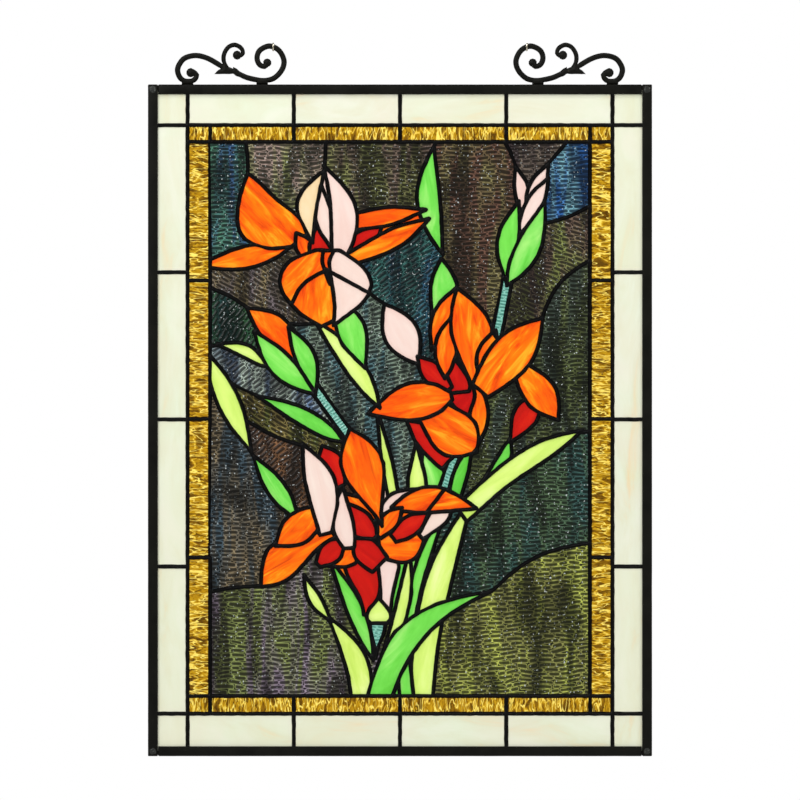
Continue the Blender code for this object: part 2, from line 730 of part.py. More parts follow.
def smooth_path(points, steps=2):
    points = [Vector(p) for p in points]
    path = []
    for i in range(len(points) - 1):
        a, b, c, d = (points[max(i - 1, 0)], points[i], points[i + 1], points[min(i + 2, len(points) - 1)])
        for k in range(steps):
            t = k / steps
            path.append(0.5 * (2 * b + (c - a) * t + (2 * a - 5 * b + 4 * c - d) * t * t
                               + (3 * b - a - 3 * c + d) * t ** 3))
    return path + [points[-1]]


def hanger(name, side):
    outlines = thick([smooth_path(main_scroll)], scroll_width)
    outlines += thick([smooth_path(upper_scroll)], scroll_width * 0.8)
    outlines += [disc(Vector(middle), radius, 10) for middle, radius in balls]
    outlines.append(blade((-150.0, 11.6), (-168.2, 9.6), 6.0, -0.12, 0.4, 0.4, steps=5))
    outlines.append(blade((-144.5, 8.0), (-151.2, 15.9), 5.0, 0.1, 0.45, 0.5, steps=5))
    outlines += [rectangle(x - long / 2, clearance / millimetre, x + long / 2, 5.0) for x, long in feet]
    verts, tris, middles, _ = triangulated(outlines)
    filled = np.zeros(len(tris), bool)
    for outline in outlines:
        filled[held(outline, middles)] = True
    low = clearance / millimetre
    rings = [thinned_ring(r, 0.12) for r in region_rings(verts, tris, np.flatnonzero(filled).tolist())]
    rings = [[Vector((side * p.x, max(p.y, low))) for p in r] for r in rings if abs(ring_area(r)) > 0.5]
    return plate(name, rings, hanger_thickness,
                 lambda p: Vector((p.x * millimetre, 0.0, p.y * millimetre - ring_rise)), frame_finish)


hanger("hanger_left", 1)
hanger("hanger_right", -1)
for name, side in (("ring_left", -1), ("ring_right", 1)):
    bpy.ops.mesh.primitive_torus_add(major_radius=ring_radius, minor_radius=ring_wire, major_segments=14,
                                     minor_segments=6, location=(side * ring_middle, 0.0, 0.0),
                                     rotation=(0.0, math.pi / 2, 0.0))
    ring = bpy.context.object
    ring.name = ring.data.name = name
    ring.data.materials.append(ring_finish)
    for home in list(ring.users_collection):
        home.objects.unlink(ring)
    panel.objects.link(ring)
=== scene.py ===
import math
import random

import bmesh
import bpy
import numpy as np
from mathutils import Matrix, Vector, geometry, noise
from mathutils.bvhtree import BVHTree
from mathutils.kdtree import KDTree


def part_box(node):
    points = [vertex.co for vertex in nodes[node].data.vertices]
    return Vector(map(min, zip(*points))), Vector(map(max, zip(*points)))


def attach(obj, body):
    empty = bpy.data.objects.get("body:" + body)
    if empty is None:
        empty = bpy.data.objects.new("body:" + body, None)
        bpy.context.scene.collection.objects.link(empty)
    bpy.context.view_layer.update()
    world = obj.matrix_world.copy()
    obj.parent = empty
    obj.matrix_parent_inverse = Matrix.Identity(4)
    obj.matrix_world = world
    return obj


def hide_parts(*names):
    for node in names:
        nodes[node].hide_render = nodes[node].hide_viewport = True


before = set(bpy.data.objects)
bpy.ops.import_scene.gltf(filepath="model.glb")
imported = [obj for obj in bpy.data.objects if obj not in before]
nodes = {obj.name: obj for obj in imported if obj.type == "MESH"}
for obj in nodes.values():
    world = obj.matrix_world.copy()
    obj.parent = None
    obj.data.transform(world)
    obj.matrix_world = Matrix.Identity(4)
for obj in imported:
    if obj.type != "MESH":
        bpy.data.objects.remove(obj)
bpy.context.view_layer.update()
mm = 0.001
random.seed(7)


# helpers for materials

def colour(red, green, blue):
    # screen values to the linear ones that shaders take
    parts = [c / 255 for c in (red, green, blue)]
    return [((c + 0.055) / 1.055) ** 2.4 if c > 0.04 else c / 12.92 for c in parts] + [1.0]


def newMaterial(name, roughness=0.5, metallic=0.0, **sockets):
    material = bpy.data.materials.new(name)
    material.use_nodes = True
    shader = material.node_tree.nodes["Principled BSDF"]
    shader.inputs["Roughness"].default_value = roughness
    shader.inputs["Metallic"].default_value = metallic
    for socket, value in sockets.items():
        shader.inputs[socket.replace("_", " ")].default_value = value
    return material, material.node_tree, shader


def addNode(tree, kind, values=None, links=None, **settings):
    node = tree.nodes.new("ShaderNode" + kind)
    for key, value in settings.items():
        setattr(node, key, value)
    for socket, value in (values or {}).items():
        node.inputs[socket].default_value = value
    for socket, source in (links or {}).items():
        tree.links.new(source, node.inputs[socket])
    return node


def addNoise(tree, source, scale=1.0, detail=3.0, roughness=0.5, distortion=0.0, stretch=(1, 1, 1)):
    placed = addNode(tree, "Mapping", {"Scale": stretch}, {"Vector": source}).outputs[0]
    values = {"Scale": scale, "Detail": detail, "Roughness": roughness, "Distortion": distortion}
    return addNode(tree, "TexNoise", values, {"Vector": placed}).outputs["Fac"]


def addRamp(tree, factor, stops):
    node = addNode(tree, "ValToRGB", links={"Fac": factor})
    ramp = node.color_ramp
    while len(ramp.elements) < len(stops):
        ramp.elements.new(0.5)
    for element, (place, shade) in zip(ramp.elements, stops):
        element.position = place
        element.color = shade
    return node.outputs["Color"]


def addMix(tree, factor, first, second, blend="MIX"):
    node = addNode(tree, "Mix", data_type="RGBA", blend_type=blend)
    for socket, value in ((0, factor), (6, first), (7, second)):
        if isinstance(value, (float, int, list)):
            node.inputs[socket].default_value = value
        else:
            tree.links.new(value, node.inputs[socket])
    return node.outputs[2]


def addRange(tree, source, low, high, fromLow=0.25, fromHigh=0.75):
    limits = {"From Min": fromLow, "From Max": fromHigh, "To Min": low, "To Max": high}
    return addNode(tree, "MapRange", limits, {"Value": source}).outputs[0]


def addRoughness(tree, shader, source, rough, least, most):
    tree.links.new(addRange(tree, source, rough * least, rough * most), shader.inputs["Roughness"])


def addBump(tree, shader, height, strength, distance):
    bump = addNode(tree, "Bump", {"Strength": strength, "Distance": distance}, {"Height": height})
    tree.links.new(bump.outputs[0], shader.inputs["Normal"])


# materials

def streakyGlass(name, look):
    # smooth art glass: long streaks along each pane, cloudy patches, a lighter or darker edge
    material, tree, shader = newMaterial(name, look["rough"], Specular_IOR_Level=look["specular"])
    grain = addNode(tree, "UVMap", uv_map="grain").outputs[0]
    place = addNode(tree, "TexCoord").outputs["Object"]
    streaks = addNoise(tree, grain, detail=4.0, roughness=0.6, distortion=look["swirl"],
                       stretch=(look["along"], look["across"], 1))
    cloud = addNoise(tree, place, look["cloud"], roughness=0.55, distortion=0.6)
    shade = addRamp(tree, streaks, look["stops"])
    cloudy = addMix(tree, addRange(tree, cloud, 0.0, look["cloudy"]), shade, look["patch"])
    pane = addNode(tree, "Attribute", attribute_name="pane").outputs["Fac"]
    varied = addMix(tree, addRange(tree, pane, 0.0, look["vary"], 0.0, 1.0), cloudy, look["other"])
    edge = addNode(tree, "Attribute", attribute_name="edge").outputs["Fac"]
    rimmed = addMix(tree, addRange(tree, edge, look["rimmed"], 0.0, 0.0, 1.0), varied, look["rim"])
    tree.links.new(rimmed, shader.inputs["Base Color"])
    addRoughness(tree, shader, cloud, look["rough"], least=0.8, most=1.5)
    fine = addNoise(tree, grain, distortion=0.3, stretch=(look["along"] * 2, look["across"] * 2.5, 1))
    addBump(tree, shader, fine, look["bump"], distance=0.6 * mm)
    return material


def rippledGlass(name, look):
    # cathedral glass: the colour follows the relief, with painted shade in the grooves and painted highlight
    # on the crests and the rims of the drops
    material, tree, shader = newMaterial(name, look["rough"], Specular_IOR_Level=look["specular"],
                                         Coat_Weight=look["coat"], Coat_Roughness=0.06)
    relief = addNode(tree, "Attribute", attribute_name="relief").outputs["Fac"]
    place = addNode(tree, "TexCoord").outputs["Object"]
    cloud = addNoise(tree, place, look["cloud"], roughness=0.6, distortion=0.5)
    grain = addNode(tree, "UVMap", uv_map="grain").outputs[0]
    fine = addNoise(tree, grain, roughness=0.55, distortion=0.2, stretch=(look["along"], look["across"], 1))
    mixed = addNode(tree, "Math", {1: look["fine"]}, {0: fine, 2: relief}, operation="MULTIPLY_ADD")
    level = addNode(tree, "Math", {1: look["fine"] * 0.5}, {0: mixed.outputs[0]}, operation="SUBTRACT")
    # relief ramp: painted shade towards the grooves, painted highlight towards the crests and drop rims
    shade = addRamp(tree, level.outputs[0], look["stops"])
    # thin wandering lines of painted shade and painted highlight
    for line in look["lines"]:
        wander = addNoise(tree, grain, detail=2.0, distortion=line["curl"],
                          stretch=(line["along"], line["across"], 1))
        off = addNode(tree, "Math", {1: line["level"]}, {0: wander}, operation="SUBTRACT").outputs[0]
        near = addNode(tree, "Math", links={0: off}, operation="ABSOLUTE").outputs[0]
        drawn = addRange(tree, near, line["amount"], 0.0, line["wide"] * 0.4, line["wide"])
        shade = addMix(tree, drawn, shade, line["colour"])
    if look["streaked"]:
        deep, glow, other = (addNode(tree, "Attribute", attribute_name=dye).outputs["Color"]
                             for dye in ("deep", "glow", "other"))
        streak = addNoise(tree, place, roughness=0.55, distortion=0.6, stretch=look["streaks"])
        dark = addNoise(tree, place, roughness=0.55, distortion=0.8, stretch=look["shadows"])
        dyed = addMix(tree, addRange(tree, streak, 0.0, 1.0, fromLow=0.42, fromHigh=0.58), glow, other)
        dyed = addMix(tree, 1.0, dyed, look["lift"], "MULTIPLY")
        dimmed = addMix(tree, addRange(tree, dark, 0.80, 0.0, fromLow=0.40, fromHigh=0.56), dyed, deep)
        base = addMix(tree, shade, deep, dimmed)
        # painted glints: small pale sparkles spotted over the dark glass
        paintedGlint = addNoise(tree, place, look["paintedGlint"], detail=1.0)
        paintedGlints = addRange(tree, paintedGlint, 0.0, 0.85, fromLow=0.69, fromHigh=0.75)
        shade = addMix(tree, paintedGlints, base, look["paintedGlintTone"])
    patch = addMix(tree, addRange(tree, cloud, 0.0, look["cloudy"]), shade, look["patch"])
    tree.links.new(patch, shader.inputs["Base Color"])
    addRoughness(tree, shader, cloud, look["rough"], least=0.7, most=1.4)
    addBump(tree, shader, fine, look["bump"], distance=0.8 * mm)
    return material


def patinaMetal(name, look):
    # blackened metal: dull and glossy areas, rubbed spots where the bare metal shows, small pits
    material, tree, shader = newMaterial(name, look["rough"], look["metallic"],
                                         Specular_IOR_Level=look["specular"])
    place = addNode(tree, "TexCoord").outputs["Object"]
    broad = addNoise(tree, place, look["broad"], detail=4.0, roughness=0.6, distortion=0.4)
    small = addNoise(tree, place, look["small"], detail=5.0, roughness=0.65)
    worn = addRange(tree, small, 0.0, 1.0, *look["worn"])
    base = addMix(tree, addRange(tree, broad, 0.0, 1.0), look["dark"], look["light"])
    tree.links.new(addMix(tree, worn, base, look["bare"]), shader.inputs["Base Color"])
    addRoughness(tree, shader, broad, look["rough"], least=0.75, most=1.3)
    addBump(tree, shader, small, look["bump"], distance=0.5 * mm)
    return material


opal = {"rough": 0.16, "specular": 0.16, "swirl": 0.8, "along": 14.0, "across": 60.0, "cloud": 22.0,
        "cloudy": 0.35, "vary": 0.4, "rimmed": 0.25, "bump": 0.10}
glassLooks = {
    "pearl": dict(opal, along=12.0, across=40.0, cloud=14.0, cloudy=0.5, vary=0.35, rimmed=0.3,
                  stops=[(0.30, colour(224, 206, 162)), (0.42, colour(214, 219, 192)),
                         (0.56, colour(219, 227, 206)), (0.74, colour(227, 231, 217))],
                  patch=colour(226, 212, 196), other=colour(216, 220, 186), rim=colour(228, 222, 204)),
    "orange": dict(opal, along=22.0, across=110.0, swirl=0.9,
                   stops=[(0.32, colour(196, 36, 4)), (0.43, colour(238, 76, 4)),
                          (0.55, colour(248, 120, 4)), (0.69, colour(255, 184, 40))],
                   patch=colour(250, 138, 10), other=colour(240, 70, 6), rim=colour(226, 66, 6)),
    "red": dict(opal, stops=[(0.30, colour(150, 6, 8)), (0.50, colour(192, 14, 12)),
                             (0.72, colour(220, 40, 18))],
                patch=colour(176, 12, 14), other=colour(206, 32, 12), rim=colour(130, 6, 8)),
    "white": dict(opal, stops=[(0.28, colour(226, 194, 184)), (0.50, colour(231, 208, 200)),
                               (0.72, colour(235, 219, 210))],
                  patch=colour(228, 190, 182), other=colour(234, 214, 196), rim=colour(220, 172, 160)),
    "cream": dict(opal, stops=[(0.28, colour(226, 192, 134)), (0.50, colour(232, 210, 168)),
                               (0.72, colour(236, 220, 194))],
                  patch=colour(230, 200, 152), other=colour(234, 214, 186), rim=colour(216, 170, 108)),
    "green": dict(opal, stops=[(0.28, colour(80, 182, 48)), (0.48, colour(116, 214, 84)),
                               (0.70, colour(184, 238, 136))],
                  patch=colour(86, 200, 60), other=colour(128, 226, 84), rim=colour(44, 140, 36)),
    "lime": dict(opal, stops=[(0.28, colour(176, 212, 74)), (0.50, colour(210, 234, 118)),
                              (0.72, colour(234, 244, 168))],
                 patch=colour(190, 228, 92), other=colour(214, 240, 130), rim=colour(130, 176, 50)),
    "teal": {"rough": 0.14, "specular": 0.45, "coat": 0.2, "cloud": 40.0, "cloudy": 0.3, "along": 300.0,
             "across": 900.0, "fine": 0.15, "bump": 0.2, "patch": colour(96, 160, 144), "streaked": False,
             "lines": [],
             # teal relief ramp: painted shade in the grooves, a painted highlight along the rims of the
             # drops
             "stops": [(0.04, colour(14, 46, 42)), (0.16, colour(150, 214, 198)),
                       (0.34, colour(110, 178, 158)), (0.80, colour(54, 116, 104))]},
    "amber": {"rough": 0.16, "specular": 0.10, "coat": 0.0, "cloud": 25.0, "cloudy": 0.15, "along": 300.0,
              "across": 900.0, "fine": 0.20, "bump": 0.2, "patch": colour(196, 146, 24), "streaked": False,
              # amber relief ramp: brown valleys as painted shade, pale yellow crests as painted highlight
              "stops": [(0.10, colour(70, 44, 6)), (0.30, colour(134, 94, 10)), (0.50, colour(178, 134, 18)),
                        (0.74, colour(206, 164, 32)), (0.95, colour(244, 214, 96))],
              # painted lines along the ripples: a dark one of painted shade and a bright one of painted
              # highlight
              "lines": [{"along": 55.0, "across": 260.0, "curl": 0.7, "level": 0.44, "wide": 0.030,
                         "amount": 0.85, "colour": colour(62, 38, 4)},
                        {"along": 40.0, "across": 190.0, "curl": 0.5, "level": 0.535, "wide": 0.024,
                         "amount": 0.95, "colour": colour(255, 230, 110)}]},
    "ground": {"rough": 0.14, "specular": 0.12, "coat": 0.02, "cloud": 18.0, "cloudy": 0.10, "along": 250.0,
               "across": 800.0, "fine": 0.10, "bump": 0.25, "patch": colour(52, 50, 40), "streaked": True,
               "streaks": (62, 1, 9), "shadows": (44, 1, 12), "lift": [1.65, 1.55, 1.27, 1.0],
               # the pale spots are painted glints
               "paintedGlint": 560.0, "paintedGlintTone": colour(206, 214, 214), "lines": [],
               # dark glass relief ramp, the share of the streak colours: painted highlight along the rims of
               # the drops, painted shade in the grooves
               "stops": [(0.10, [0.0] * 3 + [1]), (0.19, [0.5] * 3 + [1]), (0.28, [1.0] * 3 + [1]),
                         (0.40, [0.15] * 3 + [1]), (0.90, [0.07] * 3 + [1])]},
}
smoothKinds = ("pearl", "orange", "red", "white", "cream", "green", "lime")
glassMaterials = {kind: (streakyGlass if kind in smoothKinds else rippledGlass)(kind + "Glass", look)
                  for kind, look in glassLooks.items()}
patina = patinaMetal("blackPatina", {
    "rough": 0.34, "metallic": 0.0, "specular": 0.06, "broad": 60.0, "small": 420.0, "worn": (0.66, 0.80),
    "dark": colour(6, 6, 7), "light": colour(13, 13, 13), "bare": colour(52, 50, 46), "bump": 0.35})
frameMetal = patinaMetal("frameMetal", {
    "rough": 0.44, "metallic": 0.0, "specular": 0.08, "broad": 35.0, "small": 260.0, "worn": (0.66, 0.80),
    "dark": colour(8, 8, 6), "light": colour(18, 18, 13), "bare": colour(66, 62, 50), "bump": 0.3})
solderGrey = patinaMetal("solderGrey", {
    "rough": 0.40, "metallic": 0.3, "specular": 0.3, "broad": 260.0, "small": 700.0, "worn": (0.58, 0.72),
    "dark": colour(20, 21, 19), "light": colour(48, 50, 46), "bare": colour(120, 124, 118), "bump": 0.5})
brightWire = patinaMetal("brightWire", {
    "rough": 0.22, "metallic": 1.0, "specular": 0.5, "broad": 300.0, "small": 900.0, "worn": (0.62, 0.76),
    "dark": colour(150, 142, 122), "light": colour(206, 200, 184), "bare": colour(238, 234, 224),
    "bump": 0.15})
print("materials made")


# outlines, as flat points (x, z)

outlineLook = {"step": 1.4 * mm, "corner": math.radians(34), "wobble": 0.30 * mm, "wobbleSize": 6.0 * mm,
               "wobbleLayers": (0.3, 9.3), "fuller": 0.18 * mm, "room": 0.18}
touching = 1e-6  # vertices nearer than this are one


def capOutlines(node, level):
    # closed outlines of a node's flat front face, the longest first
    work = bmesh.new()
    work.from_mesh(node.data)
    bmesh.ops.remove_doubles(work, verts=work.verts, dist=touching)
    cap = {f.index for f in work.faces
           if f.normal.y < -0.9 and abs(f.calc_center_median().y - level) < 0.1 * mm}
    follow = {}
    for face in work.faces:
        if face.index in cap:
            for corner in face.loops:
                if sum(other.index in cap for other in corner.edge.link_faces) == 1:
                    follow[corner.vert.index] = corner.link_loop_next.vert.index
    work.verts.ensure_lookup_table()
    outlines = []
    while follow:
        start = min(follow)
        line, here = [], start
        while here in follow:
            line.append(Vector((work.verts[here].co.x, work.verts[here].co.z)))
            here = follow.pop(here)
        outlines.append(line)
    work.free()
    return sorted(outlines, key=lambda line: -abs(areaOf(line)))


def areaOf(line):
    return 0.5 * sum(a.x * b.y - b.x * a.y for a, b in zip(line, line[1:] + line[:1]))


def wobbleAt(point):
    # a slow wander to the sides, so that no outline looks ruled
    places = [Vector((point.x, point.y, layer)) for layer in outlineLook["wobbleLayers"]]
    return Vector([noise.noise(place / outlineLook["wobbleSize"]) for place in places])


def smoothed(line, wobble):
    # a curve through the points, with its sharp corners kept, cut into even steps
    count = len(line)
    ways = [(line[(i + 1) % count] - line[i]) for i in range(count)]
    sharp = [ways[i - 1].angle(ways[i]) > outlineLook["corner"] for i in range(count)]
    curve = []
    for i in range(count):
        here, after, way = line[i], line[(i + 1) % count], ways[i]
        out = way if sharp[i] else (after - line[i - 1]).normalized() * way.length
        into = way if sharp[(i + 1) % count] else (line[(i + 2) % count] - here).normalized() * way.length
        steps = max(1, math.ceil(way.length / outlineLook["step"]))
        for k in range(steps):
            t = k / steps
            curve.append(here * (2 * t ** 3 - 3 * t ** 2 + 1) + out * (t ** 3 - 2 * t ** 2 + t)
                         + after * (3 * t ** 2 - 2 * t ** 3) + into * (t ** 3 - t ** 2))
    return [p + wobbleAt(p) * wobble for p in curve]


def grown(line, by):
    # the outline pushed outwards; it runs anticlockwise
    count = len(line)
    moved = []
    for i in range(count):
        way = (line[(i + 1) % count] - line[i - 1]).normalized()
        moved.append(line[i] + Vector((way.y, -way.x)) * by)
    return moved


def eased(line, by):
    # grown, or shrunk where by is negative, but less where two parts of the outline run close together
    count = len(line)
    places = np.array([(p.x, p.y) for p in line])
    moved = grown(line, by)
    pushed = []
    for i in range(count):
        others = [(i + k) % count for k in range(2, count - 1)]
        nearest = np.hypot(*(places[others] - places[i]).T).min() if others else 0.0
        pushed.append(line[i].lerp(moved[i], min(1.0, outlineLook["room"] * nearest / abs(by))))
    return pushed


def holds(line, point):
    # whether a point lies inside an outline: it does when an odd number of sides lies to its right
    inside = False
    for a, b in zip(line, line[1:] + line[:1]):
        if (a.y > point.y) != (b.y > point.y):
            crossing = (b.x - a.x) * (point.y - a.y) / (b.y - a.y) + a.x
            inside ^= point.x < crossing
    return inside


def middleOf(line):
    # the centre of the largest triangle in an outline, which is always inside it
    flat = [Vector((p.x, p.y, 0)) for p in line]
    best = max(geometry.tessellate_polygon([flat]),
               key=lambda t: geometry.area_tri(flat[t[0]], flat[t[1]], flat[t[2]]))
    return sum((line[i] for i in best), Vector((0, 0))) / 3


class Border:
    # distance from a flat point to the nearest outline
    def __init__(self, outlines, step=0.25 * mm):
        points = []
        for line in outlines:
            for a, b in zip(line, line[1:] + line[:1]):
                parts = max(1, math.ceil((b - a).length / step))
                points += [a.lerp(b, k / parts) for k in range(parts)]
        self.tree = KDTree(len(points))
        for i, p in enumerate(points):
            self.tree.insert((p.x, 0, p.y), i)
        self.tree.balance()

    def away(self, point):
        return self.tree.find((point.x, 0, point.z))[2]


def finished(name, work, materials, slot, *replaced, sharp=50):
    bmesh.ops.recalc_face_normals(work, faces=work.faces)
    for face in work.faces:
        face.smooth = True
    mesh = bpy.data.meshes.new(name)
    work.to_mesh(mesh)
    work.free()
    mesh.set_sharp_from_angle(angle=math.radians(sharp))
    for material in materials:
        mesh.materials.append(material)
    thing = bpy.data.objects.new(name, mesh)
    bpy.context.scene.collection.objects.link(thing)
    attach(thing, "root")
    if replaced:
        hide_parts(*replaced)
    return thing


# camera, light and floor

view = {"middle": (0.0, 0.0, -0.3202), "distance": 6.0, "span": 0.7256, "sensor": 36.0}
camera = bpy.data.objects.new("camera", bpy.data.cameras.new("camera"))
camera.location = (view["middle"][0], -view["distance"], view["middle"][2])
camera.rotation_euler = (math.pi / 2, 0, 0)
camera.data.sensor_width = view["sensor"]
camera.data.lens = view["sensor"] * view["distance"] / view["span"]
camera.data.clip_end = 50
bpy.context.scene.collection.objects.link(camera)
bpy.context.scene.camera = camera
bpy.context.scene.view_settings.view_transform = "Standard"

lightLooks = {
    "keySoftbox": {"at": (-1.1, -1.9, 0.75), "size": 1.1, "power": 30.0},
    "fillSoftbox": {"at": (1.5, -1.7, -0.1), "size": 0.9, "power": 11.0},
    "topStrip": {"at": (0.1, -0.9, 1.3), "size": 0.5, "power": 9.0},
    "backSoftbox": {"at": (0.6, 1.9, 0.6), "size": 1.2, "power": 30.0},
}
for name, look in lightLooks.items():
    lamp = bpy.data.objects.new(name, bpy.data.lights.new(name, "AREA"))
    lamp.data.size = look["size"]
    lamp.data.energy = look["power"]
    lamp.location = look["at"]
    lamp.rotation_euler = (Vector(view["middle"]) - lamp.location).to_track_quat("-Z", "Y").to_euler()
    bpy.context.scene.collection.objects.link(lamp)

skyLook = {"seen": 1.0, "around": 0.46}
world = bpy.data.worlds.new("studio")
bpy.context.scene.world = world
world.use_nodes = True
sky = world.node_tree
seen = sky.nodes["Background"]
seen.inputs["Color"].default_value = (1, 1, 1, 1)
seen.inputs["Strength"].default_value = skyLook["seen"]
around = addNode(sky, "Background", {"Color": (1, 1, 1, 1), "Strength": skyLook["around"]})
straight = addNode(sky, "LightPath").outputs["Is Camera Ray"]
joined = addNode(sky, "MixShader", links={0: straight, 1: around.outputs[0], 2: seen.outputs[0]})
sky.links.new(joined.outputs[0], sky.nodes["World Output"].inputs["Surface"])

floorLook = {"size": 1.6, "height": -1.0, "rough": 0.8, "tone": colour(228, 228, 226)}
floorWork = bmesh.new()
bmesh.ops.create_grid(floorWork, x_segments=1, y_segments=1, size=floorLook["size"])
bmesh.ops.translate(floorWork, verts=floorWork.verts, vec=(0, 0, floorLook["height"]))
floorMesh = bpy.data.meshes.new("floor")
floorWork.to_mesh(floorMesh)
floorWork.free()
floor = bpy.data.objects.new("floor", floorMesh)
bpy.context.scene.collection.objects.link(floor)
floorMaterial, _, floorShader = newMaterial("floor", floorLook["rough"])
floorShader.inputs["Base Color"].default_value = floorLook["tone"]
floorMesh.materials.append(floorMaterial)


# the panes: which glass fills which opening

picture = {"left": 172.25, "bottom": 588.6}


def onPanel(across, up):
    # from millimetres across and up, starting at the picture's corner inside the amber border
    return Vector(((across - picture["left"]) * mm, (up - picture["bottom"]) * mm))


colourSpots = {
    "red": [(101, 410), (141, 417), (109, 392), (197, 293), (220, 286), (229, 265), (250, 309), (197, 232),
            (284, 250), (108, 210), (93, 146), (108, 133), (135, 158), (142, 132), (142, 100), (182, 156)],
    "cream": [(86, 440), (297, 462), (170, 178)],
    "lime": [(194, 25), (212, 115), (173, 90), (134, 35), (96, 89), (153, 77), (17, 268), (28, 311),
             (126, 300), (188, 200), (161, 215), (285, 212), (235, 165)],
    "teal": [(110, 260), (264, 347), (217, 205), (151, 52)],
}
familyKinds = {"warm": ["orange", "red"], "pale": ["white", "cream"], "leaf": ["green", "lime", "teal"],
               "ground": ["ground"], "pearl": ["pearl"], "amber": ["amber"]}
familySlots = {"warm": "orange_glass", "pale": "blush_glass", "leaf": "leaf_glass", "ground": "ground_glass",
               "pearl": "pearl_glass", "amber": "amber_glass"}
# dark glass: a place, the colours of the grooves and of two kinds of streak, and the tilt of its ripples
groundLooks = [
    ((15, 488), (8, 15, 15), (74, 124, 112), (54, 88, 138), 0),
    ((68, 490), (24, 25, 18), (148, 158, 110), (146, 130, 132), 0),
    ((155, 480), (16, 15, 10), (116, 124, 82), (96, 84, 82), 0),
    ((240, 480), (18, 15, 11), (110, 106, 76), (92, 68, 62), 0),
    ((295, 497), (20, 16, 15), (108, 100, 94), (66, 58, 66), 0),
    ((330, 480), (8, 22, 38), (104, 154, 182), (40, 90, 166), 0),
    ((325, 425), (20, 16, 17), (104, 88, 82), (106, 116, 70), -20),
    ((330, 320), (12, 15, 9), (86, 98, 64), (58, 72, 70), 0),
    ((180, 391), (5, 14, 18), (58, 112, 116), (38, 76, 112), 32),
    ((60, 360), (20, 17, 13), (122, 112, 88), (94, 88, 100), -28),
    ((14, 340), (5, 14, 9), (46, 86, 58), (28, 60, 66), 55),
    ((30, 292), (14, 17, 20), (150, 168, 170), (94, 118, 160), 35),
    ((105, 312), (10, 14, 15), (128, 150, 144), (72, 106, 122), 15),
    ((48, 262), (16, 14, 7), (130, 120, 78), (92, 106, 56), -32),
    ((60, 215), (15, 9, 6), (112, 82, 62), (68, 58, 56), 40),
    ((20, 180), (12, 11, 9), (118, 108, 92), (64, 84, 104), 0),
    ((40, 50), (15, 12, 11), (120, 134, 84), (128, 118, 146), 0),
    ((310, 60), (12, 15, 6), (166, 178, 92), (120, 124, 76), 4),
    ((310, 170), (7, 11, 8), (74, 100, 78), (50, 84, 88), 0),
    ((225, 470), (15, 14, 10), (122, 126, 110), (88, 90, 72), 0),
]
# both drop patterns: how the rows sway, the longest shift in drops, and how full a drop is
drops = {"sway": 55.0, "swayApart": Vector((7.7, 3.1, 0)), "swayAside": 0.8, "shift": 7, "fill": 0.55}
ripples = {
    "amber": {"height": 0.60 * mm, "length": 11.0 * mm, "pitch": 3.4 * mm, "drift": 0.7, "sway": 110.0,
              "finer": 1.7, "closer": 2.1, "level": 0.38, "roll": 0.35, "crest": 0.62, "crestWidth": 0.09,
              "crease": 0.30, "creaseWidth": 0.08, "backTone": 0.55, "net": (1.3 * mm, 0.6 * mm)},
    "ground": dict(drops, height=0.50 * mm, length=11.5 * mm, pitch=4.1 * mm, drift=3.0 * mm, slant=0.22,
                   uneven=0.55, backTone=0.37, net=(1.25 * mm, 0.6 * mm)),
    "teal": dict(drops, height=0.45 * mm, length=7.0 * mm, pitch=2.9 * mm, drift=2.0 * mm, slant=0.2,
                 uneven=0.5, backTone=0.45, net=(1.1 * mm, 0.5 * mm)),
    "smooth": {"height": 0.22 * mm, "length": 26 * mm, "pitch": 14 * mm, "backTone": 0.5,
               "net": (3.2 * mm, 3.2 * mm)},
}
paneLook = {"front": -1.25 * mm, "back": 1.3 * mm, "tuck": 0.7 * mm, "edgeWidth": 3.0 * mm, "backEdge": 0.8,
            "borderStep": 1.0 * mm, "places": 50}

lattice = nodes["solder_seams"]
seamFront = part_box("solder_seams")[0].y
rim, *holeLines = capOutlines(lattice, seamFront)
rim = smoothed(rim, 0.0)
holeLines = [eased(smoothed(line[::-1], outlineLook["wobble"]), -outlineLook["fuller"])
             for line in holeLines]
print("pane openings:", len(holeLines))

sheets = sorted(n for n in nodes if n.startswith("glass_"))
corners, triangles, owner = [], [], []
for n in sheets:
    first = len(corners)
    corners += [v.co.copy() for v in nodes[n].data.vertices]
    triangles += [[first + v for v in p.vertices] for p in nodes[n].data.polygons]
    owner += [n] * len(nodes[n].data.polygons)
glassTree = BVHTree.FromPolygons(corners, triangles)


def sheetBehind(point):
    # the glass sheet that lies behind a point, or else the nearest one
    hit = glassTree.ray_cast(Vector((point.x, -0.05, point.y)), Vector((0, 1, 0)))
    if hit[0] is None:
        hit = glassTree.find_nearest(Vector((point.x, 0, point.y)))
    return owner[hit[2]]


def longWay(line):
    # direction in which a pane is longest
    points = np.array([(p.x, p.y) for p in line])
    spread = np.linalg.eigh(np.cov((points - points.mean(0)).T))[1][:, 1]
    return math.atan2(spread[1], spread[0])


def reachOf(item, way):
    # how far a vertex, an edge or a face reaches in a direction
    return max(v.co.dot(way) for v in ([item] if isinstance(item, bmesh.types.BMVert) else item.verts))


def netted(work, turn, steps):
    # fine net: the flat pane is sliced both ways
    for angle, step in ((turn, steps[0]), (turn + math.pi / 2, steps[1])):
        way = Vector((math.cos(angle), 0, math.sin(angle)))
        reach = [v.co.dot(way) for v in work.verts]
        ahead = work.verts[:] + work.edges[:] + work.faces[:]
        for i in range(math.floor(min(reach) / step) + 1, math.ceil(max(reach) / step)):
            level = i * step
            cut = bmesh.ops.bisect_plane(work, geom=ahead, dist=touching, plane_co=way * level, plane_no=way)
            ahead = [g for g in cut["geom"] if g.is_valid and reachOf(g, way) > level - 0.1 * touching]


def waveAt(along, across, look, seed):
    # slow swells of smooth glass
    return noise.noise(Vector((along / look["length"], across / look["pitch"], seed)))


def chance(*place):
    # a fixed draw between 0 and 1 for each whole cell of the noise
    return noise.cell(Vector(place)) * 0.5 + 0.5


